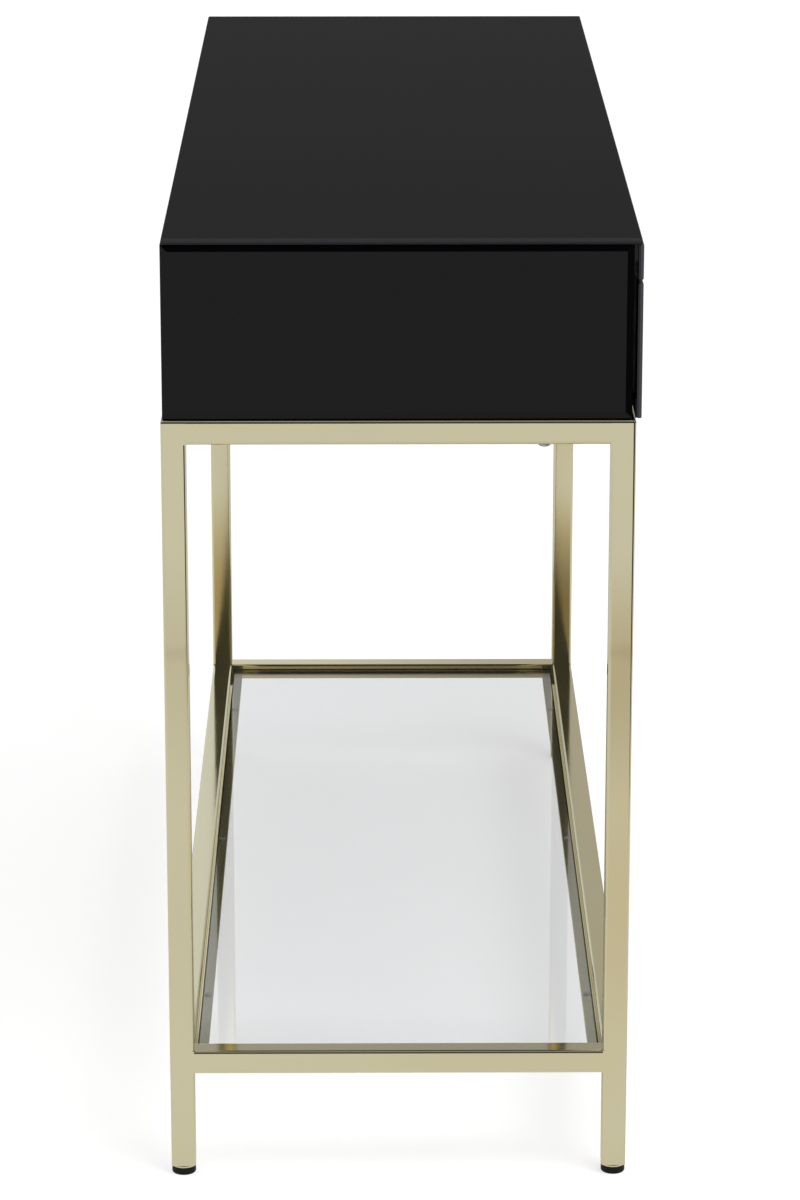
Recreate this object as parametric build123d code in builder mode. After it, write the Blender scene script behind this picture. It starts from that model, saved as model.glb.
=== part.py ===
from build123d import *
import os

# Vanity table: a drawer box clad in black glass, carried by a welded frame of square
# tube with a recessed clear glass shelf near the floor.
#
# Frame of reference: +X runs along the table's length to its right-hand end, the
# drawers open towards -Y, +Z is up. The origin lies on the floor, at the centre of
# the table's outline. Left and right are as seen from the front.

# ---------------------------------------------------------------- driving dimensions

table_length = 1100.0
table_depth = 384.0
table_height = 800.0

tube = 20.0
tube_wall = 1.5
tube_radius = 2.5

top_rail_top = 652.0
shelf_rail_top = 111.5
foot_height = 8.5

cladding_glass = 4.0
top_glass_thickness = 5.0
shelf_glass_thickness = 5.0
glass_arris = 0.7
bevel_width = 5.5
bevel_depth = 0.8

board = 15.0
back_board_thickness = 12.0
board_arris = 0.5
push_gap = 3.5

strip_height = 28.5
front_gap = 3.0

drawer_lift = 7.0
drawer_bottom_lift = 8.0
drawer_side_thickness = 12.0
drawer_side_height = 80.0
drawer_bottom_thickness = 5.0
groove_depth = 6.0
runner_length = 300.0
runner_end_gap = 2.0
runner_space = 13.0
runner_steel = 1.2

screw_radius = 1.7
screw_hole_radius = 1.8
screw_hole_depth = 7.0
screw_grip = 6.5
screw_end_distance = 37.0

# ------------------------------------------------------------------- derived planes

half_length = table_length / 2
back_y = table_depth / 2
glass_front_y = -table_depth / 2
frame_front_y = glass_front_y + cladding_glass

leg_x = half_length - tube / 2
leg_front_y = frame_front_y + tube / 2
leg_back_y = back_y - tube / 2
top_rail_z = top_rail_top - tube
shelf_rail_z = shelf_rail_top - tube

end_inset = 1.0
top_front_inset = 1.5
top_back_inset = 2.5
box_back_inset = 1.5
end_glass_x = half_length - end_inset
box_half_length = end_glass_x - cladding_glass
bay_outer_x = box_half_length - board
bay_inner_x = board / 2

box_front_y = frame_front_y + push_gap
box_back_y = back_y - box_back_inset
box_top = table_height - top_glass_thickness
base_top = top_rail_top + board
top_board_z = box_top - board
back_board_y = box_back_y - back_board_thickness

cladding_gap = 1.3
glue_line = 0.4
cladding_bottom = top_rail_top + cladding_gap
cladding_top = box_top - glue_line
strip_bottom = cladding_top - strip_height
drawer_front_top = strip_bottom - front_gap

bay_width = bay_outer_x - bay_inner_x
bay_centre_x = (bay_outer_x + bay_inner_x) / 2

front_board_back = frame_front_y + board
drawer_back_y = front_board_back + runner_length
drawer_z = base_top + drawer_lift
drawer_top = drawer_z + drawer_side_height
drawer_half_width = bay_width / 2 - runner_space

runner_mid_z = drawer_z + drawer_side_height / 2
runner_start_y = front_board_back + runner_end_gap
member_length = runner_length - 2 * runner_end_gap
screw_y = (
    runner_start_y + screw_end_distance,
    runner_start_y + member_length - screw_end_distance,
)

sides = {"left": -1, "right": 1}
ends = {"front": leg_front_y, "rear": leg_back_y}

os.makedirs("parts", exist_ok=True)


# ---------------------------------------------------------------------- shared shapes


def screw_holes(places, lift, depth):
    """Cutters for screw holes along X, each starting lift above its surface.

    A place is (x of the surface, y, direction of the screw along X).
    """
    with BuildPart() as bores:
        for x, y, direction in places:
            origin = (x - direction * lift, y, runner_mid_z)
            with BuildSketch(Plane(origin=origin, x_dir=(0, 1, 0), z_dir=(direction, 0, 0))):
                Circle(screw_hole_radius)
            extrude(amount=depth)
    return bores.part


def make_board(label, x_range, y_range, z_range, arris=board_arris, screws=()):
    """A flat board between two corners, its edges eased, drilled for runner screws."""
    size = [high - low for low, high in (x_range, y_range, z_range)]
    centre = [(high + low) / 2 for low, high in (x_range, y_range, z_range)]
    bores = screw_holes(screws, 0, screw_hole_depth) if screws else None
    with BuildPart() as panel:
        with BuildSketch(Plane.XY.offset(z_range[0])):
            with Locations((centre[0], centre[1])):
                Rectangle(size[0], size[1])
        extrude(amount=size[2])
        if arris:
            chamfer(panel.edges(), arris)
        if screws:
            add(bores, mode=Mode.SUBTRACT)
    panel.part.label = label
    export_step(panel.part, f"parts/{label}.step")


def make_rail(label, start, direction, length, bolt_places=()):
    """A straight run of square tube, drilled through from below where a bolt passes."""
    section = Plane(origin=start, x_dir=(0, 0, 1), z_dir=direction)
    with BuildPart() as rail:
        with BuildSketch(section):
            RectangleRounded(tube, tube, tube_radius)
            inner = tube - 2 * tube_wall
            RectangleRounded(inner, inner, tube_radius - tube_wall, mode=Mode.SUBTRACT)
        extrude(amount=length)
        if bolt_places:
            with BuildSketch(Plane.XY.offset(top_rail_z)):
                with Locations(*bolt_places):
                    Circle(bolt_hole_radius)
            extrude(amount=tube, mode=Mode.SUBTRACT)
    rail.part.label = label
    export_step(rail.part, f"parts/{label}.step")


def make_bevelled_pane(label, face, width, height):
    """A glass pane whose face lies in the given plane, bevelled all round."""
    with BuildPart() as pane:
        with BuildSketch(face.offset(-cladding_glass)):
            Rectangle(width, height)
        extrude(amount=cladding_glass - bevel_depth)
        with BuildSketch(face.offset(-bevel_depth)):
            Rectangle(width, height)
        with BuildSketch(face):
            Rectangle(width - 2 * bevel_width, height - 2 * bevel_width)
        loft()
    pane.part.label = label
    export_step(pane.part, f"parts/{label}.step")


# ------------------------------------------------------------------------ tube frame

bolt_radius = 3.0
bolt_hole_radius = 3.4
bolt_head_radius = 5.25
bolt_head_height = 3.3
bolt_socket_radius = 2.3
bolt_socket_depth = 2.0
bolt_head_rounding = 2.3
bolt_end_gap = 1.0
insert_radius = 4.5
insert_length = 12.0
insert_clearance = 0.1

# Each end rail has one bolt, towards the front; the long rails have two each.
end_bolt_y = -115.0
long_rail_bolt_x = 300.0
end_bolts = {side: (sign * leg_x, end_bolt_y) for side, sign in sides.items()}
long_bolts = {
    end: [(-long_rail_bolt_x, y), (long_rail_bolt_x, y)] for end, y in ends.items()
}
all_bolts = list(end_bolts.values()) + long_bolts["front"] + long_bolts["rear"]


cap_radius = tube_radius - 0.1


def make_leg(label, x, y):
    """A leg: tube from the glide to the table box, capped on top.

    The long edges are rounded, except where the rails are welded on: there the
    three edges next to a rail are filled and ground flush, so they stay square.
    """
    leg_height = top_rail_top - foot_height
    outward = (1 if x > 0 else -1, 1 if y > 0 else -1)
    with BuildPart() as leg:
        with BuildSketch(Plane.XY.offset(foot_height)):
            with Locations((x, y)):
                RectangleRounded(tube, tube, tube_radius)
        extrude(amount=leg_height)
        for weld_z in (shelf_rail_z, top_rail_z):
            with BuildSketch(Plane.XY.offset(weld_z)) as weld:
                with Locations((x, y)):
                    Rectangle(tube, tube)
                outer_corner = weld.vertices().sort_by(
                    lambda v: v.X * outward[0] + v.Y * outward[1]
                )[-1]
                fillet(outer_corner, tube_radius)
            extrude(amount=tube)
        with BuildSketch(Plane.XY.offset(foot_height)):
            with Locations((x, y)):
                inner = tube - 2 * tube_wall
                RectangleRounded(inner, inner, tube_radius - tube_wall)
        extrude(amount=leg_height - tube_wall, mode=Mode.SUBTRACT)
        top_edges = leg.faces().sort_by(Axis.Z)[-1].edges()
        outer_edges = top_edges.sort_by(
            lambda e: e.center().X * outward[0] + e.center().Y * outward[1]
        )[-3:]
        fillet(outer_edges, cap_radius)
    leg.part.label = label
    export_step(leg.part, f"parts/{label}.step")


for side, sign in sides.items():
    for end, y in ends.items():
        make_leg(f"leg_{end}_{side}", sign * leg_x, y)

rail_run_x = table_length - 2 * tube
rail_run_y = leg_back_y - leg_front_y - tube
rail_start_y = leg_front_y + tube / 2

for level, z in {"top": top_rail_z, "shelf": shelf_rail_z}.items():
    mid_z = z + tube / 2
    for end, y in ends.items():
        places = long_bolts[end] if level == "top" else ()
        start = (-rail_run_x / 2, y, mid_z)
        make_rail(f"{level}_rail_{end}", start, (1, 0, 0), rail_run_x, places)
    for side, sign in sides.items():
        places = [end_bolts[side]] if level == "top" else ()
        start = (sign * leg_x, rail_start_y, mid_z)
        make_rail(f"{level}_rail_{side}", start, (0, 1, 0), rail_run_y, places)

# ------------------------------------------------------------------------ foot glides

glide_radius = 10.0
glide_edge = 1.5
spigot_clearance = 0.2
spigot = tube - 2 * tube_wall - spigot_clearance
spigot_height = 18.0
spigot_floor = 2.0
spigot_recess = 11.0

for side, sign in sides.items():
    for end, y in ends.items():
        with BuildPart() as glide:
            with BuildSketch():
                with Locations((sign * leg_x, y)):
                    Circle(glide_radius)
            extrude(amount=foot_height)
            rim = glide.faces().sort_by(Axis.Z)[0].edges()
            fillet(rim, glide_edge)
            with BuildSketch(Plane.XY.offset(foot_height)):
                with Locations((sign * leg_x, y)):
                    RectangleRounded(spigot, spigot, tube_radius - tube_wall)
            extrude(amount=spigot_height)
            with BuildSketch(Plane.XY.offset(foot_height + spigot_floor)):
                with Locations((sign * leg_x, y)):
                    Rectangle(spigot_recess, spigot_recess)
            extrude(amount=spigot_height, mode=Mode.SUBTRACT)
        glide.part.label = f"foot_glide_{end}_{side}"
        export_step(glide.part, f"parts/{glide.part.label}.step")

# -------------------------------------------------------------------- recessed shelf

ledge_width = 11.0
ledge_thickness = 3.0
shelf_recess = 6.0
pad_thickness = 1.0
pad_radius = 3.0
pad_inset = 6.5
ledge_arris = 0.4
shelf_gap = 2.0

shelf_glass_top = shelf_rail_top - shelf_recess
shelf_glass_z = shelf_glass_top - shelf_glass_thickness
ledge_top = shelf_glass_z - pad_thickness

inner_x = half_length - tube
inner_front_y = frame_front_y + tube
inner_back_y = back_y - tube
ledge_z = (ledge_top - ledge_thickness, ledge_top)

for end, wall_y, inward in (("front", inner_front_y, 1), ("rear", inner_back_y, -1)):
    y_range = sorted((wall_y, wall_y + inward * ledge_width))
    make_board(f"shelf_ledge_{end}", (-inner_x, inner_x), y_range, ledge_z, ledge_arris)

for side, sign in sides.items():
    x_range = sorted((sign * inner_x, sign * (inner_x - ledge_width)))
    y_range = (inner_front_y + ledge_width, inner_back_y - ledge_width)
    make_board(f"shelf_ledge_{side}", x_range, y_range, ledge_z, ledge_arris)

pad_line_x = [-400.0, 0.0, 400.0]
pad_front_y = inner_front_y + pad_inset
pad_back_y = inner_back_y - pad_inset

with BuildPart() as pads:
    with BuildSketch(Plane.XY.offset(ledge_top)):
        with Locations(*[(x, y) for x in pad_line_x for y in (pad_front_y, pad_back_y)]):
            Circle(pad_radius)
    extrude(amount=pad_thickness)
pads.part.label = "shelf_pads"
export_step(pads.part, "parts/shelf_pads.step")

shelf_x = inner_x - shelf_gap
make_board(
    "shelf_glass",
    (-shelf_x, shelf_x),
    (inner_front_y + shelf_gap, inner_back_y - shelf_gap),
    (shelf_glass_z, shelf_glass_top),
    glass_arris,
)

# ---------------------------------------------------------------------- box carcass

board_x = (-box_half_length, box_half_length)
carcass_y = (box_front_y, box_back_y)
inside_z = (base_top, top_board_z)

with BuildPart() as base:
    with BuildSketch(Plane.XY.offset(top_rail_top)):
        with Locations((0, (box_front_y + box_back_y) / 2)):
            Rectangle(2 * box_half_length, box_back_y - box_front_y)
    extrude(amount=board)
    chamfer(base.edges(), board_arris)
    with BuildSketch(Plane.XY.offset(top_rail_top)):
        with Locations(*all_bolts):
            Circle(insert_radius + insert_clearance / 2)
    extrude(amount=insert_length, mode=Mode.SUBTRACT)
base.part.label = "carcass_base"
export_step(base.part, "parts/carcass_base.step")

make_board("carcass_top", board_x, (frame_front_y, box_back_y), (top_board_z, box_top))

# Where the runners are screwed to the walls of the bays.
end_screws = {
    side: [(sign * bay_outer_x, y, sign) for y in screw_y] for side, sign in sides.items()
}
divider_screws = [(sign * bay_inner_x, y, -sign) for sign in (-1, 1) for y in screw_y]

for side, sign in sides.items():
    x_range = sorted((sign * bay_outer_x, sign * box_half_length))
    screws = end_screws[side]
    make_board(f"carcass_end_{side}", x_range, carcass_y, inside_z, screws=screws)

make_board(
    "carcass_back", (-bay_outer_x, bay_outer_x), (back_board_y, box_back_y), inside_z
)
make_board(
    "carcass_divider",
    (-bay_inner_x, bay_inner_x),
    (box_front_y, back_board_y),
    inside_z,
    screws=divider_screws,
)

# The fixed rail behind the glass strip is notched around the divider.
strip_rail_gap = 2.0
notch_clearance = 0.2
strip_rail_z = drawer_front_top + strip_rail_gap
notch_width = board + 2 * notch_clearance
notch_depth = board - push_gap + notch_clearance
with BuildPart() as strip_rail:
    with BuildSketch(Plane.XY.offset(strip_rail_z)):
        with Locations((0, frame_front_y + board / 2)):
            Rectangle(2 * bay_outer_x, board)
        with Locations((0, frame_front_y + board - notch_depth / 2)):
            Rectangle(notch_width, notch_depth, mode=Mode.SUBTRACT)
    extrude(amount=top_board_z - strip_rail_z)
strip_rail.part.label = "carcass_front_rail"
export_step(strip_rail.part, "parts/carcass_front_rail.step")

# ------------------------------------------------------- bolts and threaded inserts

with BuildPart() as bolts:
    with BuildSketch(Plane.XY.offset(top_rail_z - bolt_head_height)):
        with Locations(*all_bolts):
            Circle(bolt_head_radius)
    extrude(amount=bolt_head_height)
    fillet(bolts.edges().group_by(Axis.Z)[0], bolt_head_rounding)
    with BuildSketch(Plane.XY.offset(top_rail_z)):
        with Locations(*all_bolts):
            Circle(bolt_radius)
    extrude(amount=tube + insert_length - bolt_end_gap)
    with BuildSketch(Plane.XY.offset(top_rail_z - bolt_head_height)):
        with Locations(*all_bolts):
            RegularPolygon(bolt_socket_radius, 6)
    extrude(amount=bolt_socket_depth, mode=Mode.SUBTRACT)
bolts.part.label = "frame_bolts"
export_step(bolts.part, "parts/frame_bolts.step")

with BuildPart() as inserts:
    with BuildSketch(Plane.XY.offset(top_rail_top)):
        with Locations(*all_bolts):
            Circle(insert_radius)
            Circle(bolt_radius + insert_clearance, mode=Mode.SUBTRACT)
    extrude(amount=insert_length)
inserts.part.label = "threaded_inserts"
export_step(inserts.part, "parts/threaded_inserts.step")

# -------------------------------------------------------------------- black cladding

make_board(
    "top_glass",
    (-half_length, half_length),
    (glass_front_y + top_front_inset, back_y - top_back_inset),
    (box_top, table_height),
    glass_arris,
)

end_glass_height = cladding_top - cladding_bottom
end_glass_centre = (
    0,
    (box_front_y + box_back_y) / 2,
    (cladding_top + cladding_bottom) / 2,
)
for side, sign in sides.items():
    origin = (sign * end_glass_x, end_glass_centre[1], end_glass_centre[2])
    face = Plane(origin=origin, x_dir=(0, 1, 0), z_dir=(sign, 0, 0))
    make_bevelled_pane(f"end_glass_{side}", face, box_back_y - box_front_y, end_glass_height)

make_board(
    "front_strip_glass",
    (-end_glass_x, end_glass_x),
    (glass_front_y, frame_front_y),
    (strip_bottom, cladding_top),
    glass_arris,
)

# ---------------------------------------------------------------------------- drawers

drawer_gap = 2.0
side_inner = drawer_half_width - drawer_side_thickness
bottom_z = drawer_z + drawer_bottom_lift
groove_clearance = 0.15


def make_drawer(name, centre_x):
    """One drawer: front board and glass, two grooved sides, back and bottom."""
    bay = (centre_x - bay_width / 2 + drawer_gap, centre_x + bay_width / 2 - drawer_gap)
    front_z = (base_top + drawer_gap, drawer_front_top)
    make_board(f"{name}_front_board", bay, (frame_front_y, front_board_back), front_z)

    outer = -end_glass_x if centre_x < 0 else end_glass_x
    inner = -front_gap / 2 if centre_x < 0 else front_gap / 2
    make_board(
        f"{name}_front_glass",
        sorted((outer, inner)),
        (glass_front_y, frame_front_y),
        (cladding_bottom, drawer_front_top),
        glass_arris,
    )

    groove_z = bottom_z - groove_clearance
    groove_height = drawer_bottom_thickness + 2 * groove_clearance
    for side, sign in sides.items():
        mid_x = centre_x + sign * (side_inner + drawer_side_thickness / 2)
        groove_x = centre_x + sign * (side_inner + groove_depth / 2)
        outer_x = centre_x + sign * drawer_half_width
        bores = screw_holes([(outer_x, y, -sign) for y in screw_y], 0, screw_hole_depth)
        with BuildPart() as drawer_side:
            with BuildSketch(Plane.XY.offset(drawer_z)):
                with Locations((mid_x, (front_board_back + drawer_back_y) / 2)):
                    Rectangle(drawer_side_thickness, runner_length)
            extrude(amount=drawer_side_height)
            chamfer(drawer_side.edges(), board_arris)
            with BuildSketch(Plane.XY.offset(groove_z)):
                with Locations((groove_x, (front_board_back + drawer_back_y) / 2)):
                    Rectangle(groove_depth, runner_length)
            extrude(amount=groove_height, mode=Mode.SUBTRACT)
            add(bores, mode=Mode.SUBTRACT)
        drawer_side.part.label = f"{name}_side_{side}"
        export_step(drawer_side.part, f"parts/{drawer_side.part.label}.step")

    inside = (centre_x - side_inner, centre_x + side_inner)
    back_start = drawer_back_y - drawer_side_thickness
    back_z = (bottom_z + drawer_bottom_thickness, drawer_top)
    make_board(f"{name}_back", inside, (back_start, drawer_back_y), back_z)

    reach = side_inner + groove_depth - groove_clearance
    bottom_z_range = (bottom_z, bottom_z + drawer_bottom_thickness)
    make_board(
        f"{name}_bottom",
        (centre_x - reach, centre_x + reach),
        (front_board_back, drawer_back_y),
        bottom_z_range,
        0.0,
    )


# ---------------------------------------------------------------------------- runners

ball_gap = 2.2
cabinet_member_height = 35.0
flat_head_height = 0.7
pan_head_height = 2.0
screw_head_radius = 3.5


def make_channels(label, centre_x, height, near, far, web_on_wall_side, screws=()):
    """The left and right channel of one runner size, one solid each.

    near and far are the distances of a channel's two sides from the drawer's centre.
    Its upright web is on the wall's side or on the drawer's side.
    """
    origin = (centre_x, runner_start_y, runner_mid_z)
    web_shift = -runner_steel if web_on_wall_side else runner_steel
    bores = screw_holes(screws, runner_steel, runner_steel) if screws else None
    with BuildPart() as members:
        with BuildSketch(Plane(origin=origin, x_dir=(1, 0, 0), z_dir=(0, 1, 0))):
            for sign in (-1, 1):
                middle = sign * (near + far) / 2
                with Locations((middle, 0)):
                    Rectangle(far - near, height)
                with Locations((middle + sign * web_shift, 0)):
                    Rectangle(far - near, height - 2 * runner_steel, mode=Mode.SUBTRACT)
        extrude(amount=member_length)
        if screws:
            add(bores, mode=Mode.SUBTRACT)
    members.part.label = label
    export_step(members.part, f"parts/{label}.step")


def make_runner_screws(label, places, head_height):
    """The screws that hold channels of one kind, their heads on the webs."""
    with BuildPart() as runner_screws:
        for x, y, direction in places:
            origin = (x - direction * runner_steel, y, runner_mid_z)
            web = Plane(origin=origin, x_dir=(0, 1, 0), z_dir=(direction, 0, 0))
            with BuildSketch(web):
                Circle(screw_head_radius)
            extrude(amount=-head_height)
            with BuildSketch(web):
                Circle(screw_radius)
            extrude(amount=runner_steel + screw_grip)
    runner_screws.part.label = label
    export_step(runner_screws.part, f"parts/{label}.step")


# ------------------------------------------------------------------- push-open latches

latch_body_width = 16.0
latch_body_height = 20.0
latch_flange = 34.0
latch_flange_thickness = 3.0
latch_stroke = 3.0
latch_rest_gap = 0.3
latch_end_gap = 0.7
latch_body_corner = 2.0
latch_flange_corner = 3.0
plunger_rounding = 1.0
latch_bore_end_gap = 1.0
plunger_radius = 4.0
plunger_clearance = 0.08
plunger_length = 29.0
plunger_tip_y = drawer_back_y + latch_rest_gap
latch_front_y = plunger_tip_y + latch_stroke + latch_end_gap
latch_bore_depth = plunger_length + latch_bore_end_gap


def make_latch(name, centre_x):
    """A push latch on the back board: flanged housing and its sprung plunger."""
    latch_plane = Plane(origin=(centre_x, 0, runner_mid_z), x_dir=(1, 0, 0), z_dir=(0, 1, 0))
    with BuildPart() as housing:
        with BuildSketch(latch_plane.offset(latch_front_y)):
            RectangleRounded(latch_body_width, latch_body_height, latch_body_corner)
        extrude(amount=back_board_y - latch_front_y)
        with BuildSketch(latch_plane.offset(back_board_y - latch_flange_thickness)):
            RectangleRounded(latch_flange, latch_body_height, latch_flange_corner)
        extrude(amount=latch_flange_thickness)
        with BuildSketch(latch_plane.offset(latch_front_y)):
            Circle(plunger_radius + plunger_clearance)
        extrude(amount=latch_bore_depth, mode=Mode.SUBTRACT)
    housing.part.label = f"{name}_latch_housing"
    export_step(housing.part, f"parts/{name}_latch_housing.step")

    with BuildPart() as plunger:
        with BuildSketch(latch_plane.offset(plunger_tip_y)):
            Circle(plunger_radius)
        extrude(amount=plunger_length)
        fillet(plunger.faces().sort_by(Axis.Y)[0].edges(), plunger_rounding)
    plunger.part.label = f"{name}_latch_plunger"
    export_step(plunger.part, f"parts/{name}_latch_plunger.step")


middle_member_height = cabinet_member_height - 2 * (runner_steel + ball_gap)
inner_member_height = middle_member_height - 2 * (runner_steel + ball_gap)
wall = bay_width / 2
middle_inner_gap = 1.5
wall_side_gap = 1.0
drawer_side_gap = 1.2
outer_near = drawer_half_width + middle_inner_gap
middle_far = wall - runner_steel - wall_side_gap
inner_far = middle_far - runner_steel - drawer_side_gap
wall_screws = {
    side: end_screws[side] + [place for place in divider_screws if place[0] * sign > 0]
    for side, sign in sides.items()
}

for side, sign in sides.items():
    drawer = f"{side}_drawer"
    x = sign * bay_centre_x
    make_drawer(drawer, x)
    make_channels(
        f"{drawer}_cabinet_runners",
        x,
        cabinet_member_height,
        outer_near,
        wall,
        True,
        wall_screws[side],
    )
    make_channels(f"{drawer}_middle_runners", x, middle_member_height, outer_near, middle_far, True)
    drawer_screws = [(x + s * drawer_half_width, y, -s) for s in (-1, 1) for y in screw_y]
    make_channels(
        f"{drawer}_inner_runners",
        x,
        inner_member_height,
        drawer_half_width,
        inner_far,
        False,
        drawer_screws,
    )
    make_runner_screws(f"{drawer}_runner_screws", drawer_screws, pan_head_height)
    make_latch(drawer, x)

make_runner_screws(
    "cabinet_runner_screws", wall_screws["left"] + wall_screws["right"], flat_head_height
)
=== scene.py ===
"""The look of a slim dressing table in black glass and gold tube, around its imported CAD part."""

import math

import bmesh
import bpy
from mathutils import Matrix, Vector


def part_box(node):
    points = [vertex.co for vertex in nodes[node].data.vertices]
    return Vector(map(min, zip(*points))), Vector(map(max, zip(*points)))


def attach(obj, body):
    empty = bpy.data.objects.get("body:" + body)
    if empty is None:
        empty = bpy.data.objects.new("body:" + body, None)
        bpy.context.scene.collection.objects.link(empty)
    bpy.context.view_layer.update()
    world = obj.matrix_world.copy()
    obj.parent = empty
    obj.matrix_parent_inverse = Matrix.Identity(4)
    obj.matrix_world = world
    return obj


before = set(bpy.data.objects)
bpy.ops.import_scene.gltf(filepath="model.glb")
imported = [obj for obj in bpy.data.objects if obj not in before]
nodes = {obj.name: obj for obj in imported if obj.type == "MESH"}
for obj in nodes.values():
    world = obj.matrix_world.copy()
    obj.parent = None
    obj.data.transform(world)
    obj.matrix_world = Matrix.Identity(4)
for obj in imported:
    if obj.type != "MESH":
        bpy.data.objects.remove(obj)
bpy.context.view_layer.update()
scene = bpy.context.scene

# ------------------------------------------------------------------ short calls for shader nodes


class Graph:
    """One material's nodes, with short calls for the ones that most finishes share."""

    def __init__(self, name, base=(0.5, 0.5, 0.5), **sockets):
        self.material = bpy.data.materials.new(name)
        self.material.use_nodes = True
        self.tree = self.material.node_tree
        self.shader = self.tree.nodes["Principled BSDF"]
        self.shader.inputs["Base Color"].default_value = (*base, 1)
        for socket, value in sockets.items():
            self.shader.inputs[socket.replace("_", " ")].default_value = value

    def node(self, kind, inputs=None, **settings):
        made = self.tree.nodes.new(kind)
        for name, value in settings.items():
            setattr(made, name, value)
        for name, value in (inputs or {}).items():
            self.feed(made.inputs[name], value)
        return made

    def feed(self, socket, value):
        """A socket takes another node's output or a plain value."""
        if isinstance(value, bpy.types.NodeSocket):
            self.tree.links.new(value, socket)
        else:
            socket.default_value = value

    def place(self, stretch=(1, 1, 1)):
        """Where a point is on the object at rest, in metres, stretched by each axis."""
        at = self.node("ShaderNodeTexCoord").outputs["Object"]
        return self.node("ShaderNodeMapping", {"Vector": at, "Scale": stretch}).outputs["Vector"]

    def along(self, axis):
        """One coordinate of the place on the object, in metres."""
        split = self.node("ShaderNodeSeparateXYZ", {"Vector": self.place()})
        return split.outputs[axis]

    def noise(self, scale, detail=3.0, stretch=(1, 1, 1)):
        """Smooth noise around 0.5, with about scale features to the metre."""
        settings = {"Vector": self.place(stretch), "Scale": scale, "Detail": detail}
        return self.node("ShaderNodeTexNoise", settings).outputs["Fac"]

    def specks(self, scale, size):
        """Fine specks, scale to the metre: 1 at each middle and 0 from size outwards."""
        made = self.node("ShaderNodeTexVoronoi", {"Vector": self.place(), "Scale": scale})
        return self.spread(made.outputs["Distance"], 0.0, size, 1, 0)

    def math(self, operation, a, b=0.0):
        made = self.node("ShaderNodeMath", operation=operation)
        self.feed(made.inputs[0], a)
        self.feed(made.inputs[1], b)
        return made.outputs[0]

    def spread(self, value, low, high, to_low, to_high):
        """A value's range stretched to another range, smoothly and clamped."""
        settings = {
            "Value": value,
            "From Min": low,
            "From Max": high,
            "To Min": to_low,
            "To Max": to_high,
        }
        made = self.node("ShaderNodeMapRange", settings, interpolation_type="SMOOTHSTEP")
        return made.outputs["Result"]

    def peak(self, value, centre, reach):
        """1 where the value is centre, falling smoothly to 0 at reach on either side."""
        away = self.math("ABSOLUTE", self.math("SUBTRACT", value, centre))
        return self.spread(away, 0, reach, 1, 0)

    def ramp(self, value, stops):
        """Colours at places along a value, blended evenly between them."""
        made = self.node("ShaderNodeValToRGB", {"Fac": value})
        ramp = made.color_ramp
        while len(ramp.elements) < len(stops):
            ramp.elements.new(1.0)
        for element, (at, colour) in zip(ramp.elements, stops):
            element.position = at
            element.color = (*colour, 1)
        return made.outputs["Color"]

    def mix(self, amount, a, b, blend_type="MIX"):
        """Colour a with that amount of colour b in it."""
        made = self.node("ShaderNodeMix", data_type="RGBA", blend_type=blend_type)
        self.feed(made.inputs[0], amount)
        for socket, value in ((made.inputs[6], a), (made.inputs[7], b)):
            self.feed(socket, value if isinstance(value, bpy.types.NodeSocket) else (*value, 1))
        return made.outputs[2]

    def bump(self, height, distance):
        """Relief of that real height in metres, on top of any made before."""
        before = self.shader.inputs["Normal"].links
        settings = {"Height": height, "Distance": distance}
        if before:
            settings["Normal"] = before[0].from_socket
        made = self.node("ShaderNodeBump", settings)
        self.feed(self.shader.inputs["Normal"], made.outputs["Normal"])

    def set(self, socket, value):
        self.feed(self.shader.inputs[socket], value)

    def rough(self, pattern, low, high):
        """Roughness from low to high, following a noise."""
        self.set("Roughness", self.spread(pattern, noise_low, noise_high, low, high))


noise_low, noise_high = 0.3, 0.7  # where nearly all of a noise lies
micron = 0.000001


def shade(colour, factor):
    """The colour made darker or lighter."""
    return tuple(channel * factor for channel in colour)


def stretched(axis, along, across):
    """Noise scales that make streaks along one axis."""
    return tuple(along if k == axis else across for k in range(3))


def once(make):
    """A finish is made once for each set of arguments."""
    made = {}

    def get(*arguments):
        if arguments not in made:
            made[arguments] = make(*arguments)
        return made[arguments]

    return get


# ------------------------------------------------------------------ finishes

AXIS_NAMES = "XYZ"

gold_colour = (0.87, 0.81, 0.55)
gold_roughness = 0.065
gold_anisotropy = 0.7
quarter_turn = 0.25
off_axis = 0.03
cloud_scale = 7.0
cloud_span = (0.35, 0.7)
cloud_tone = 0.975
cloud_dulling = 0.06
polish_lines = (9, 1900)  # features to the metre along a tube and across it
line_dulling = 0.05
ripple_scale = 45.0
# A faint brown mark round each leg at one height, with an uneven edge.
mark_height = 0.458
mark_reach = 0.012
mark_unevenness = 60.0
mark_tone = 0.45
mark_strength = 0.16


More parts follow.
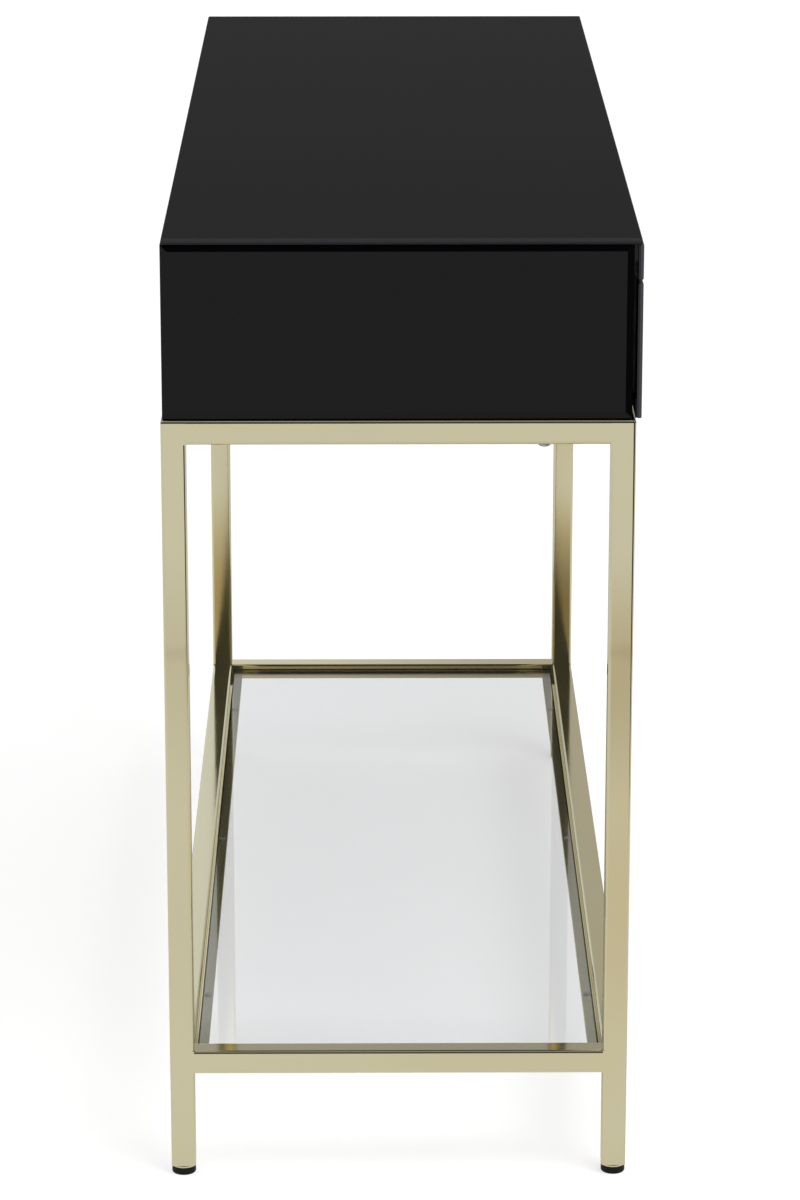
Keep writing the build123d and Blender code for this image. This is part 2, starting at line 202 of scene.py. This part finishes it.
@once
def champagne_gold(axis):
    """Polished and plated steel tube: fine polishing lines along it and slight cloudiness."""
    g = Graph(f"champagne_gold_{AXIS_NAMES[axis].lower()}", gold_colour, Metallic=1.0)
    g.set("Anisotropic", gold_anisotropy)
    g.set("Anisotropic Rotation", quarter_turn)
    lengthwise = g.node("ShaderNodeCombineXYZ")
    for k in range(3):
        lengthwise.inputs[k].default_value = 1.0 if k == axis else off_axis
    g.set("Tangent", lengthwise.outputs[0])
    cloud = g.noise(cloud_scale, 4.0)
    lines = g.noise(1.0, 2.0, stretched(axis, *polish_lines))
    bright = g.spread(cloud, *cloud_span, 0, 1)
    tone = g.mix(bright, shade(gold_colour, cloud_tone), gold_colour)
    if axis == 2:
        away = g.math("ABSOLUTE", g.math("SUBTRACT", g.along("Z"), mark_height))
        wander = g.math("MULTIPLY", g.math("SUBTRACT", g.noise(mark_unevenness), 0.5), mark_reach)
        mark = g.spread(g.math("ADD", away, wander), 0, mark_reach, 1, 0)
        amount = g.math("MULTIPLY", mark, mark_strength)
        tone = g.mix(amount, tone, shade(gold_colour, mark_tone))
    g.set("Base Color", tone)
    from_lines = g.math("MULTIPLY", lines, line_dulling)
    uneven = g.math("ADD", from_lines, g.math("MULTIPLY", cloud, cloud_dulling))
    average = (line_dulling + cloud_dulling) / 2
    g.set("Roughness", g.math("ADD", uneven, gold_roughness - average))
    g.bump(lines, 3 * micron)
    g.bump(g.noise(ripple_scale, 2.0), 10 * micron)
    return g.material


glass_black = (0.0011, 0.0009, 0.0012)
glass_ior = 1.33
clean_roughness = 0.03
dusty_roughness = 0.2
haze_scale = 5.0
haze_stretch = (1, 2.2, 2.2)
haze_span = (0.42, 0.75)
haze_share = 0.35
dust_scale, dust_size = 420.0, 0.11
dust_grey = (0.05, 0.05, 0.05)
dust_strength = 0.35
glass_wave_scale = 3.2


@once
def black_glass():
    """The face of black back-painted glass, flat and glossy, with a little dust."""
    g = Graph("black_glass_face", glass_black, IOR=glass_ior)
    haze = g.spread(g.noise(haze_scale, 4.0, haze_stretch), *haze_span, 0, 1)
    specks = g.specks(dust_scale, dust_size)
    from_haze = g.math("MULTIPLY", haze, haze_share)
    dirt = g.math("ADD", from_haze, g.math("MULTIPLY", specks, 1 - haze_share))
    g.set("Roughness", g.spread(dirt, 0, 1, clean_roughness, dusty_roughness))
    amount = g.math("MULTIPLY", specks, dust_strength)
    g.set("Base Color", g.mix(amount, glass_black, dust_grey))
    g.bump(g.noise(glass_wave_scale, 1.0), 30 * micron)
    return g.material


@once
def glass_paint():
    """The painted back of the black glass."""
    g = Graph("black_glass_paint", (0.006, 0.006, 0.006), Specular_IOR_Level=0.2)
    roller = g.noise(260.0)
    g.rough(roller, 0.55, 0.75)
    g.bump(roller, 40 * micron)
    return g.material


# Places from the paint to the open face, each with its colour. The last two are for a glow of 1.
edge_paint = [(0.0, (0.002, 0.002, 0.002)), (0.12, (0.004, 0.004, 0.005))]
edge_glass = [(0.4, (0.8, 0.82, 0.96)), (0.92, (1.0, 1.02, 1.2))]
grind_lines = (2600, 160)
grind_grey = (0.008, 0.008, 0.009)
grind_strength = 0.3


@once
def black_glass_edge(axis, low, high, glow_level):
    """A flat-ground and polished edge, black where the paint is and clearer towards the face."""
    name = f"black_glass_edge_{AXIS_NAMES[axis].lower()}_{low:+.3f}"
    g = Graph(name, (0.02, 0.02, 0.02), IOR=glass_ior)
    through = g.spread(g.along(AXIS_NAMES[axis]), low, high, 0, 1)
    grind = g.noise(1.0, 2.0, stretched(axis, *grind_lines))
    glowing = [(at, shade(colour, glow_level)) for at, colour in edge_glass]
    glow = g.ramp(through, edge_paint + glowing)
    g.set("Base Color", g.mix(g.math("MULTIPLY", grind, grind_strength), glow, grind_grey))
    g.rough(grind, 0.1, 0.2)
    g.bump(grind, 10 * micron)
    return g.material


@once
def black_glass_arris():
    """The fine-ground bevel along a pane's sharp edges."""
    g = Graph("black_glass_arris", (0.014, 0.014, 0.016), IOR=1.5)
    grain = g.noise(2200.0, 2.0)
    g.rough(grain, 0.16, 0.3)
    g.bump(grain, 10 * micron)
    return g.material


clear_tint = (0.932, 0.936, 0.96)
clear_depth_tint = (0.6, 0.9, 0.7, 1)
clear_density = 5.0
clear_haze_scale = 6.0
clear_haze_span = (0.5, 0.8)
clear_haze_roughness = 0.02
speck_scale, speck_size = 380.0, 0.07
speck_roughness = 0.12


@once
def clear_glass():
    """Clear float glass, greener the further light goes in it, with a few specks of dust."""
    g = Graph("clear_glass_sheet", clear_tint, IOR=1.5, Transmission_Weight=1.0, Roughness=0.0)
    haze = g.spread(g.noise(clear_haze_scale), *clear_haze_span, 0, clear_haze_roughness)
    specks = g.math("MULTIPLY", g.specks(speck_scale, speck_size), speck_roughness)
    g.set("Roughness", g.math("ADD", haze, specks))
    depth = {"Color": clear_depth_tint, "Density": clear_density}
    absorb = g.node("ShaderNodeVolumeAbsorption", depth)
    g.feed(g.tree.nodes["Material Output"].inputs["Volume"], absorb.outputs["Volume"])
    return g.material


@once
def clear_bumper():
    """Soft clear vinyl, faintly yellow and grainy."""
    g = Graph("clear_bumper_vinyl", (0.78, 0.77, 0.7), IOR=1.47, Roughness=0.18)
    g.set("Transmission Weight", 0.9)
    g.rough(g.noise(900.0, 2.0), 0.12, 0.26)
    g.bump(g.noise(1500.0, 2.0), 10 * micron)
    return g.material


lacquer_colour = (0.011, 0.011, 0.0115)
peel_scale = 330.0
worn_scale = 9.0
worn_span = (0.4, 0.7)
worn_tone = 1.35


@once
def black_lacquer():
    """Sprayed satin black on fibreboard, with the slight orange peel of a sprayed coat."""
    g = Graph("black_lacquer_satin", lacquer_colour, IOR=1.48)
    peel = g.noise(peel_scale, 2.0)
    worn = g.spread(g.noise(worn_scale, 5.0), *worn_span, 0, 1)
    g.set("Base Color", g.mix(worn, lacquer_colour, shade(lacquer_colour, worn_tone)))
    g.rough(g.noise(40.0), 0.34, 0.46)
    g.bump(peel, 30 * micron)
    return g.material


birch_light = (0.66, 0.49, 0.29)
birch_dark = (0.47, 0.31, 0.16)
# Features to the metre along the grain and across it.
wander_lines = (0.8, 4)
figure_lines = (0.6, 10)
pore_lines = (90, 2100)
pore_span = (0.56, 0.72)
figure_tone = 0.86
wander_tone = 1.25
wander_strength = 0.55
pore_strength = 0.45


@once
def birch_face(grain_axis, thin_axis):
    """A rotary-cut birch face under clear lacquer: long soft figure and short dark pores."""
    axes = (AXIS_NAMES[grain_axis] + "_" + AXIS_NAMES[thin_axis]).lower()
    g = Graph(f"birch_face_{axes}", birch_light)
    wander = g.noise(2.0, 3.0, stretched(grain_axis, *wander_lines))
    bands = g.node(
        "ShaderNodeTexWave",
        {
            "Vector": g.place(stretched(grain_axis, *figure_lines)),
            "Scale": 1.6,
            "Distortion": 9.0,
            "Detail": 2.5,
            "Detail Scale": 1.2,
        },
        bands_direction="DIAGONAL",
    ).outputs["Fac"]
    pores = g.noise(1.0, 2.0, stretched(grain_axis, *pore_lines))
    dark = g.spread(pores, *pore_span, 0, 1)
    figure = g.mix(bands, birch_light, shade(birch_light, figure_tone))
    amount = g.math("MULTIPLY", wander, wander_strength)
    figure = g.mix(amount, figure, shade(birch_dark, wander_tone))
    g.set("Base Color", g.mix(g.math("MULTIPLY", dark, pore_strength), figure, birch_dark))
    g.rough(pores, 0.38, 0.55)
    g.bump(pores, 30 * micron)
    return g.material


veneer = 0.00135
veneer_blend = 0.08 * veneer
light_veneer_tone = 0.92
dark_veneer_tone = 0.8
glue_reach = 0.06 * veneer
glue_brown = (0.1, 0.05, 0.025)
glue_strength = 0.7
saw_scale = 700.0
saw_strength = 0.35


@once
def birch_edge(thin_axis):
    """The sawn edge of plywood: veneers by turns along and across, with thin glue lines."""
    g = Graph(f"birch_edge_{AXIS_NAMES[thin_axis].lower()}", birch_light)
    turn = g.math("PINGPONG", g.along(AXIS_NAMES[thin_axis]), veneer)
    layer = g.spread(turn, veneer / 2 - veneer_blend, veneer / 2 + veneer_blend, 0, 1)
    glue = g.peak(turn, veneer / 2, glue_reach)
    saw = g.noise(saw_scale)
    dark = shade(birch_dark, dark_veneer_tone)
    tone = g.mix(layer, shade(birch_light, light_veneer_tone), dark)
    tone = g.mix(g.math("MULTIPLY", glue, glue_strength), tone, glue_brown)
    g.set("Base Color", g.mix(g.math("MULTIPLY", saw, saw_strength), tone, birch_dark))
    g.rough(saw, 0.5, 0.7)
    g.bump(saw, 50 * micron)
    return g.material


zinc_colour = (0.53, 0.54, 0.55)
zinc_bloom = (0.46, 0.475, 0.5)
bloom_scale = 24.0
bloom_span = (0.35, 0.7)
draw_lines = (14, 1300)


@once
def zinc_steel(axis):
    """Bright zinc plate on rolled steel: draw lines along it and a soft blue-grey cast."""
    g = Graph(f"zinc_steel_{AXIS_NAMES[axis].lower()}", zinc_colour, Metallic=1.0)
    lines = g.noise(1.0, 2.0, stretched(axis, *draw_lines))
    bloom = g.spread(g.noise(bloom_scale, 4.0), *bloom_span, 0, 1)
    g.set("Base Color", g.mix(bloom, zinc_colour, zinc_bloom))
    g.rough(lines, 0.24, 0.4)
    g.bump(lines, 10 * micron)
    return g.material


brass_colour = (0.62, 0.42, 0.16)
turning_lines = (2400, 60)


@once
def turned_brass():
    """Brass with the fine rings of turning."""
    g = Graph("turned_brass", brass_colour, Metallic=1.0)
    turning = g.noise(1.0, 2.0, stretched(2, *turning_lines))
    g.rough(turning, 0.2, 0.38)
    g.bump(turning, 10 * micron)
    return g.material


grain_tones = (0.85, 1.15)
grain_smoothing, grain_roughening = 0.06, 0.08


def moulded(name, colour, grain_scale, roughness):
    """Injection-moulded plastic with a fine spark-eroded texture."""
    g = Graph(name, colour, IOR=1.49, Specular_IOR_Level=0.3)
    grain = g.noise(grain_scale)
    g.set("Base Color", g.mix(grain, *(shade(colour, tone) for tone in grain_tones)))
    g.rough(grain, roughness - grain_smoothing, roughness + grain_roughening)
    g.bump(grain, 30 * micron)
    return g.material


@once
def black_plastic():
    return moulded("black_plastic_glide", (0.003, 0.003, 0.003), 1400.0, 0.55)


@once
def latch_plastic():
    return moulded("latch_plastic_grey", (0.2, 0.205, 0.21), 1100.0, 0.45)


# ------------------------------------------------------------------ finishes on the CAD nodes


def by_size(name):
    """A node's axes, from its shortest side to its longest."""
    lo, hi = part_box(name)
    return sorted(range(3), key=lambda k: hi[k] - lo[k])


def wear(name, materials, choose=None):
    """A node's own materials, and for each face the number of the one it shows."""
    mesh = nodes[name].data
    mesh.materials.clear()
    for material in materials:
        mesh.materials.append(material)
    for face in mesh.polygons:
        face.material_index = choose(face.normal) if choose else 0


flat_face = 0.93
steep_edge = 0.25
edge_glow = 0.021
# The drawer-front panes' edges are painted lighter than the others: a painted highlight for the
# light falling on them.
front_edge_painted_highlight = 0.05
face_look, edge_look, arris_look, paint_look = range(4)


def dress_glass_pane(name):
    """Black glass: its two broad faces and bevel, its edges, and the fine arris between them."""
    thin = by_size(name)[0]
    lo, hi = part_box(name)
    outward = 1 if (lo + hi)[thin] > 0 else -1
    painted, open_side = (lo, hi) if outward > 0 else (hi, lo)

    def choose(normal):
        facing = normal[thin] * outward
        if facing > flat_face:
            return face_look
        if facing < -flat_face:
            return paint_look
        return edge_look if abs(facing) < steep_edge else arris_look

    # Panes of the drawer fronts get the lighter edge, a painted highlight.
    glow = front_edge_painted_highlight if "front" in name else edge_glow
    edge = black_glass_edge(thin, round(painted[thin], 4), round(open_side[thin], 4), glow)
    wear(name, [black_glass(), edge, black_glass_arris(), glass_paint()], choose)


def dress_plywood(name):
    """Birch plywood: its two broad faces, and its veneers on all the others."""
    thin, _, longest = by_size(name)
    faces = [birch_face(longest, thin), birch_edge(thin)]
    wear(name, faces, lambda normal: 0 if abs(normal[thin]) > flat_face else 1)


def dress_gold(name):
    wear(name, [champagne_gold(by_size(name)[2])])


def dress_steel(name):
    wear(name, [zinc_steel(1 if "runners" in name else 2)])


def dress_in(finish):
    """Dresses a node all over in one finish that has no grain of its own."""
    return lambda name: wear(name, [finish()])


# By the record's material slot.
dressing = {
    "champagne_gold": dress_gold,
    "black_glass": dress_glass_pane,
    "clear_glass": dress_in(clear_glass),
    "clear_bumper": dress_in(clear_bumper),
    "black_lacquer": dress_in(black_lacquer),
    "drawer_ply": dress_plywood,
    "zinc_steel": dress_steel,
    "brass_insert": dress_in(turned_brass),
    "black_plastic": dress_in(black_plastic),
    "latch_plastic": dress_in(latch_plastic),
}

for node_name, node in nodes.items():
    dressing[node.data.materials[0].name](node_name)

nodes["shelf_glass"].visible_shadow = False  # clear glass lets the light through

# ------------------------------------------------------------------ small trims

collar_radius = 0.0102
collar_height = 0.002
collar_rounding = 0.0003
ring_segments = 64
lip_thickness = 0.001
lip_end_inset = 0.0006
lip_rounding = 0.0003
upright = 0.3  # a normal's height, below which a face of the ring belongs to its round side


def as_piece(mesh, name, material, body):
    """A finished mesh as an object of the model, riding on its body."""
    bmesh.ops.recalc_face_normals(mesh, faces=mesh.faces)
    data = bpy.data.meshes.new(name)
    mesh.to_mesh(data)
    mesh.free()
    data.materials.append(material)
    piece = bpy.data.objects.new(name, data)
    scene.collection.objects.link(piece)
    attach(piece, body)
    return piece


def turned_ring(mesh, centre, profile):
    """A ring turned round an upright line, from its section as (radius, height) points."""
    loops = []
    for k in range(ring_segments):
        angle = 2 * math.pi * k / ring_segments
        out = Vector((math.cos(angle), math.sin(angle)))
        points = [(*(centre.xy + radius * out), height) for radius, height in profile]
        loops.append([mesh.verts.new(point) for point in points])
    count = len(profile)
    for k, here in enumerate(loops):
        there = loops[(k + 1) % ring_segments]
        for i in range(count):
            j = (i + 1) % count
            mesh.faces.new((here[i], there[i], there[j], here[j]))


def make_foot_collar(end, side):
    """The bright ring between a leg and its glide."""
    leg_lo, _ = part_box(f"leg_{end}_{side}")
    glide_lo, glide_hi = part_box(f"foot_glide_{end}_{side}")
    inner = (glide_hi - glide_lo).x / 2
    top, bottom = leg_lo.z, leg_lo.z - collar_height
    profile = [
        (inner, bottom),
        (collar_radius - collar_rounding, bottom),
        (collar_radius, bottom + collar_rounding),
        (collar_radius, top - collar_rounding),
        (collar_radius - collar_rounding, top),
        (inner, top),
    ]
    mesh = bmesh.new()
    turned_ring(mesh, (glide_lo + glide_hi) / 2, profile)
    name = f"foot_collar_{end}_{side}"
    piece = as_piece(mesh, name, champagne_gold(2), "table")
    for face in piece.data.polygons:
        face.use_smooth = abs(face.normal.z) < upright


def make_front_lip(side):
    """The black strip behind the lower edge of a drawer's front glass, closing the gap there: a
    dark sheet put in as painted shade, where the gap would only be in shade.
    """
    glass_lo, glass_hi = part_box(f"{side}_drawer_front_glass")
    board_lo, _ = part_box(f"{side}_drawer_front_board")
    lo = Vector((glass_lo.x + lip_end_inset, glass_hi.y, glass_lo.z))
    hi = Vector((glass_hi.x - lip_end_inset, glass_hi.y + lip_thickness, board_lo.z))
    mesh = bmesh.new()
    bmesh.ops.create_cube(mesh, size=1.0)
    for vert in mesh.verts:
        vert.co = [lo[k] if vert.co[k] < 0 else hi[k] for k in range(3)]
    edges = list(mesh.edges)
    bmesh.ops.bevel(mesh, geom=edges, offset=lip_rounding, segments=2, affect="EDGES")
    as_piece(mesh, f"{side}_drawer_front_lip", black_plastic(), f"{side}_drawer")


for table_side in ("left", "right"):
    make_front_lip(table_side)
    for table_end in ("front", "rear"):
        make_foot_collar(table_end, table_side)

# ------------------------------------------------------------------ balls in the runners

ball_radius = 0.00105
ball_spacing = 0.009
cage_thickness = 0.0004
cage_overhang = 0.004
cage_half_width = 0.0022
cage_filling = 0.8  # of the room between two balls
row_inner_inset = 0.008
row_outer_inset = 0.012
channel_steel = 0.0012
ball_gap = 0.0022


def ball(mesh, centre):
    place = Matrix.Translation(centre)
    bmesh.ops.create_icosphere(mesh, subdivisions=2, radius=ball_radius, matrix=place)


def bent_strip(mesh, lo, hi):
    """A thin strip, with a lip of no thickness along one long side."""
    profile = [
        (lo.x, lo.z + cage_thickness),
        (lo.x + cage_thickness, lo.z + cage_thickness),
        (lo.x + cage_thickness, lo.z),
        (hi.x, lo.z),
        (hi.x, hi.z),
        (lo.x, hi.z),
    ]
    ends = [[mesh.verts.new((x, y, z)) for x, z in profile] for y in (lo.y, hi.y)]
    count = len(profile)
    mesh.faces.new(ends[0])
    mesh.faces.new(reversed(ends[1]))
    for k in range(count):
        after = (k + 1) % count
        mesh.faces.new((ends[0][k], ends[1][k], ends[1][after], ends[0][after]))


def runner_sides(name):
    """The x span of a drawer's left and right channel of one size."""
    mesh = nodes[name].data
    lo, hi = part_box(name)
    middle = (lo.x + hi.x) / 2
    inner_left = max(v.co.x for v in mesh.vertices if v.co.x < middle)
    inner_right = min(v.co.x for v in mesh.vertices if v.co.x > middle)
    return (lo.x, inner_left), (inner_right, hi.x)


def ball_rows(side):
    """Rows of steel balls and their cages, above and below a drawer's middle channels.

    The outer rows roll in the back half of the channel and the inner rows in the front half,
    so that both stay between two channels when the drawer is open.
    """
    middle_name = f"{side}_drawer_middle_runners"
    lo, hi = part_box(middle_name)
    centre_z = (lo.z + hi.z) / 2
    half_length = (hi.y - lo.y) / 2
    outer_z = (hi.z - lo.z) / 2 + ball_gap / 2
    inner_z = (hi.z - lo.z) / 2 - channel_steel - ball_gap / 2
    middle_y = (lo.y + hi.y) / 2
    rows = [
        (outer_z, middle_y + row_inner_inset, middle_y + half_length - row_outer_inset),
        (inner_z, middle_y - half_length + row_outer_inset, middle_y - row_inner_inset),
    ]
    half_cage = (ball_spacing - 2 * ball_radius) / 2 * cage_filling
    reach = Vector((cage_half_width, half_cage, cage_thickness / 2))
    balls, cages = bmesh.new(), bmesh.new()
    for low_x, high_x in runner_sides(middle_name):
        x = (low_x + high_x) / 2
        for height, start, end in rows:
            count = int((end - start - 2 * cage_overhang) / ball_spacing)
            for sign in (-1, 1):
                z = centre_z + sign * height
                for k in range(count + 1):
                    y = start + cage_overhang + k * ball_spacing
                    ball(balls, Vector((x, y, z)))
                    if k < count:
                        between = Vector((x, y + ball_spacing / 2, z))
                        bent_strip(cages, between - reach, between + reach)
    body = f"{side}_middle_runners"
    row_piece = as_piece(balls, f"{side}_runner_balls", zinc_steel(1), body)
    for face in row_piece.data.polygons:
        face.use_smooth = True
    as_piece(cages, f"{side}_runner_cages", zinc_steel(1), body)


for drawer_side in ("left", "right"):
    ball_rows(drawer_side)

# ------------------------------------------------------------------ studio

floor_radius = 9.0
floor_segments = 128
floor_albedo = 0.5
floor_mottling = 0.97
floor_mottle_scale = 60.0
floor_glow = 0.62
# A painted reflection: what polished surfaces see of the floor, an evenly lit sheet, a little
# warmer and darker in a band beyond the left end, and black in the corner to the front left.
mirrored_floor = (0.655, 0.657, 0.655)
warm_band = (0.5, 0.44, 0.36)
warm_band_x = -1.95
warm_band_reach = 0.55
warm_band_blend = 0.25
warm_band_front = 0.85
warm_band_rear = 0.35
# A painted dark reflection in the corner to the front left.
painted_dark_corner = (0.05, 0.048, 0.05)
painted_dark_corner_x = -0.95
painted_dark_corner_y = -0.95
painted_dark_corner_blur = 0.1
# The soft shade under the table, deeper towards the front.
shade_rear = (0.43, 0.34, 0.18)
shade_front = (0.22, 0.17, 0.085)
shade_starts = -0.64
shade_full = -0.06
shade_sides = (0.4, 0.6)
# Two soft yellow tints in that painted reflection, beyond the left end and under it: a factor for
# each colour, the middle and the reach along the table, and how much of the tint is left at the
# rear.
tints = [
    ((0.955, 0.885, 0.78), -1.2, 0.75, 0.15),
    ((0.97, 0.9, 0.72), -0.35, 0.32, 0.5),
]
side_blend = 0.2


def stage_object(mesh, name, material):
    """A finished mesh as a piece of the studio, which isn't part of the model."""
    data = bpy.data.meshes.new(name)
    mesh.to_mesh(data)
    mesh.free()
    data.materials.append(material)
    made = bpy.data.objects.new(name, data)
    scene.collection.objects.link(made)
    return made


def bare_graph(name):
    """A material with no shader yet."""
    g = Graph(name)
    g.tree.nodes.remove(g.shader)
    return g


def show(g, shader):
    g.feed(g.tree.nodes["Material Output"].inputs["Surface"], shader.outputs[0])


def mirrored_tone(g):
    """The floor's colour at each place, as polished surfaces see it: a painted reflection, with
    painted shade under the table.
    """
    x, y = g.along("X"), g.along("Y")
    sideways = g.spread(y, -warm_band_blend, warm_band_blend, warm_band_front, warm_band_rear)
    band = g.math("MULTIPLY", g.peak(x, warm_band_x, warm_band_reach), sideways)
    tone = g.mix(band, mirrored_floor, warm_band)
    beside = g.math(
        "MULTIPLY",
        g.spread(x, painted_dark_corner_x - painted_dark_corner_blur, painted_dark_corner_x + painted_dark_corner_blur, 1, 0),
        g.spread(y, painted_dark_corner_y - painted_dark_corner_blur, painted_dark_corner_y + painted_dark_corner_blur, 1, 0),
    )
    tone = g.mix(beside, tone, painted_dark_corner)
    covered = g.math(
        "MULTIPLY",
        g.spread(x, shade_starts, shade_full, 0, 1),
        g.spread(g.math("ABSOLUTE", y), *shade_sides, 1, 0),
    )
    to_rear = g.spread(y, -side_blend, side_blend, 0, 1)
    tone = g.mix(covered, tone, g.mix(to_rear, shade_front, shade_rear))
    for tint, centre, reach, at_rear in tints:
        sideways = g.spread(y, -side_blend, side_blend, 1, at_rear)
        amount = g.math("MULTIPLY", g.peak(x, centre, reach), sideways)
        tone = g.mix(amount, tone, tint, "MULTIPLY")
    return tone


def make_floor():
    """A round pale floor under the table, with a painted reflection of its own for polished
    surfaces.
    """
    mesh = bmesh.new()
    bmesh.ops.create_circle(mesh, cap_ends=True, radius=floor_radius, segments=floor_segments)
    g = bare_graph("pale_floor")
    white = (1, 1, 1)
    mottled = shade(white, floor_albedo * floor_mottling)
    tone = g.mix(g.noise(floor_mottle_scale), mottled, shade(white, floor_albedo))
    matt = g.node("ShaderNodeBsdfDiffuse", {"Color": tone})
    lit = g.node("ShaderNodeEmission", {"Color": (*white, 1), "Strength": floor_glow})
    seen = g.node("ShaderNodeAddShader")
    g.feed(seen.inputs[0], matt.outputs[0])
    g.feed(seen.inputs[1], lit.outputs[0])
    reflected = g.node("ShaderNodeEmission", {"Color": mirrored_tone(g), "Strength": 1.0})

    # A ray that has been mirrored before, but didn't leave a matt surface.
    path = g.node("ShaderNodeLightPath")
    polished = g.math("GREATER_THAN", path.outputs["Glossy Depth"], 0.5)
    polished = g.math("SUBTRACT", polished, path.outputs["Is Diffuse Ray"])
    choice = g.node("ShaderNodeMixShader", {"Fac": g.math("MAXIMUM", polished, 0)})
    g.feed(choice.inputs[1], seen.outputs[0])
    g.feed(choice.inputs[2], reflected.outputs[0])
    show(g, choice)
    stage_object(mesh, "floor", g.material)


wall_x = 0.8
wall_height = 0.645
wall_half_width = 1.2
wall_top_fade = 0.05
wall_blend = 0.25
wall_front_tone = (0.42, 0.405, 0.37)
wall_rear_tone = (0.67, 0.69, 0.7)
wall_top_tone = (0.24, 0.24, 0.23)


def make_reflector():
    """A low glowing board just past the right end, which only polished surfaces see."""
    mesh = bmesh.new()
    corners = ((-1, 0), (1, 0), (1, 1), (-1, 1))
    points = [(wall_x, wall_half_width * y, wall_height * z) for y, z in corners]
    mesh.faces.new([mesh.verts.new(point) for point in points])
    g = bare_graph("reflector_white")
    to_rear = g.spread(g.along("Y"), -wall_blend, wall_blend, 0, 1)
    upwards = g.spread(g.along("Z"), wall_height - wall_top_fade, wall_height, 0, 1)
    tone = g.mix(upwards, g.mix(to_rear, wall_front_tone, wall_rear_tone), wall_top_tone)
    show(g, g.node("ShaderNodeEmission", {"Color": tone, "Strength": 1.0}))
    board = stage_object(mesh, "reflector", g.material)
    board.visible_camera = False
    board.visible_diffuse = False
    board.visible_transmission = False
    board.visible_shadow = False


backdrop_level = 1.0
ambient_level = 0.8
# The glow of the surroundings at each elevation, as polished surfaces see it.
sky_levels = [
    (-90, 0.3),
    (0, 0.078),
    (13, 0.078),
    (22, 0.34),
    (40, 0.45),
    (90, 0.6),
]
# The share of that glow left at the left end, and the directions it fades between.
left_dimming = 0.2
dimming_span = (-0.6, 0.1)


def make_world():
    """Soft studio surroundings: dim near the horizon and brighter overhead, on a white backdrop."""
    world = bpy.data.worlds.new("studio")
    scene.world = world
    world.use_nodes = True
    tree = world.node_tree
    tree.nodes.clear()
    link = tree.links.new

    def new(kind, **settings):
        made = tree.nodes.new(kind)
        for name, value in settings.items():
            setattr(made, name, value)
        return made

    def background(level):
        made = new("ShaderNodeBackground")
        made.inputs["Color"].default_value = (1, 1, 1, 1)
        made.inputs["Strength"].default_value = level
        return made

    direction = new("ShaderNodeTexCoord")
    split = new("ShaderNodeSeparateXYZ")
    link(direction.outputs["Generated"], split.inputs[0])
    height = new("ShaderNodeMath", operation="MULTIPLY_ADD")  # from straight down to straight up
    height.inputs[1].default_value = 0.5
    height.inputs[2].default_value = 0.5
    link(split.outputs["Z"], height.inputs[0])
    ramp = new("ShaderNodeValToRGB")
    elements = ramp.color_ramp.elements
    while len(elements) < len(sky_levels):
        elements.new(1.0)
    for element, (elevation, level) in zip(elements, sky_levels):
        element.position = 0.5 + 0.5 * math.sin(math.radians(elevation))
        element.color = (level, level, level, 1)
    link(height.outputs[0], ramp.inputs[0])
    dimming = new("ShaderNodeMapRange", interpolation_type="SMOOTHSTEP")
    for socket, value in zip(("From Min", "From Max"), dimming_span):
        dimming.inputs[socket].default_value = value
    dimming.inputs["To Min"].default_value = left_dimming
    link(split.outputs["X"], dimming.inputs["Value"])
    surroundings = background(1.0)
    link(ramp.outputs[0], surroundings.inputs["Color"])
    link(dimming.outputs["Result"], surroundings.inputs["Strength"])

    path = new("ShaderNodeLightPath")
    soft = new("ShaderNodeMixShader")
    link(path.outputs["Is Diffuse Ray"], soft.inputs[0])
    link(background(backdrop_level).outputs[0], soft.inputs[1])
    link(background(ambient_level).outputs[0], soft.inputs[2])
    mirrored = new("ShaderNodeMixShader")
    link(path.outputs["Is Glossy Ray"], mirrored.inputs[0])
    link(soft.outputs[0], mirrored.inputs[1])
    link(surroundings.outputs[0], mirrored.inputs[2])
    out = new("ShaderNodeOutputWorld")
    link(mirrored.outputs[0], out.inputs["Surface"])


key_place = Vector((-1.6, -1.4, 3.0))
key_aim = Vector((0, 0, 0.3))
key_size = 2.0
key_power = 50


def make_key_light():
    """One large soft light from above, which polished surfaces don't see."""
    data = bpy.data.lights.new("key_softbox", "AREA")
    data.shape = "SQUARE"
    data.size = key_size
    data.energy = key_power
    light = bpy.data.objects.new("key_softbox", data)
    light.location = key_place
    light.rotation_mode = "QUATERNION"
    light.rotation_quaternion = (key_aim - key_place).to_track_quat("-Z", "Y")
    light.visible_glossy = False
    scene.collection.objects.link(light)


make_floor()
make_reflector()
make_world()
make_key_light()

# ------------------------------------------------------------------ camera and view

camera_place = (-4.0067, 0.0235, 1.5283)
camera_turn = (73.478, 0.0, -90.377)
camera_lens = 134.11
camera_sensor = 36.0
camera_range = 50.0

camera_data = bpy.data.cameras.new("camera")
camera_data.lens = camera_lens
camera_data.sensor_width = camera_sensor
camera_data.clip_end = camera_range
camera = bpy.data.objects.new("camera", camera_data)
camera.location = camera_place
camera.rotation_euler = [math.radians(angle) for angle in camera_turn]
scene.collection.objects.link(camera)
scene.camera = camera

scene.view_settings.view_transform = "Standard"
scene.view_settings.look = "None"
